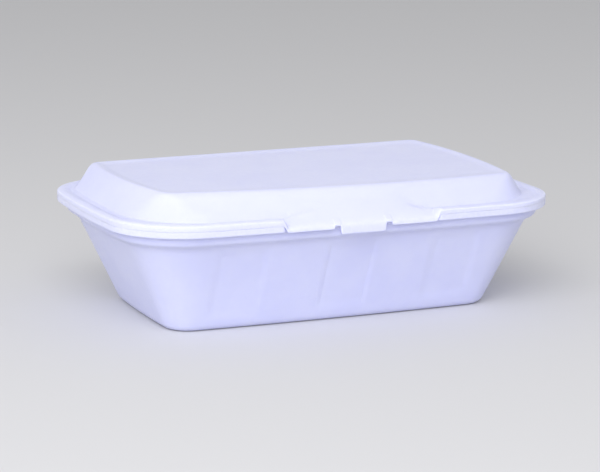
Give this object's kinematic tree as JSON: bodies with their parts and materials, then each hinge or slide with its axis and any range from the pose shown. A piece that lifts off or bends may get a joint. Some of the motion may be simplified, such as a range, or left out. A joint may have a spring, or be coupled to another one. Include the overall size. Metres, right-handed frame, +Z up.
{
  "type": "hinged foam food container",
  "caption": "Hinged foam take-away container: deep tray with sloping walls and a stepped rim, shallow domed lid, tongue lock at the front and a fold along the back.",
  "frame": {"origin": "on the table, under the centre of the closed container's box", "axes": "+X along the fold, -Y towards the lock at the front, +Z up from the table to the lid's top plate"},
  "size_m": [0.24, 0.154, 0.071],
  "materials": {
    "foam_tray": "smooth pressed foam skin, soft sheen",
    "foam_lid": "smooth pressed foam skin, soft sheen"
  },
  "bodies": {
    "tray": {"tray": "foam_tray"},
    "lid": {"lid": "foam_lid"}
  },
  "joints": [
    {"name": "lid_hinge", "type": "hinge", "parent": "tray", "child": "lid", "pos_m": [0, 0.0764, 0.0564], "axis": [-1, 0, 0], "range_deg": [0, 180]}
  ]
}
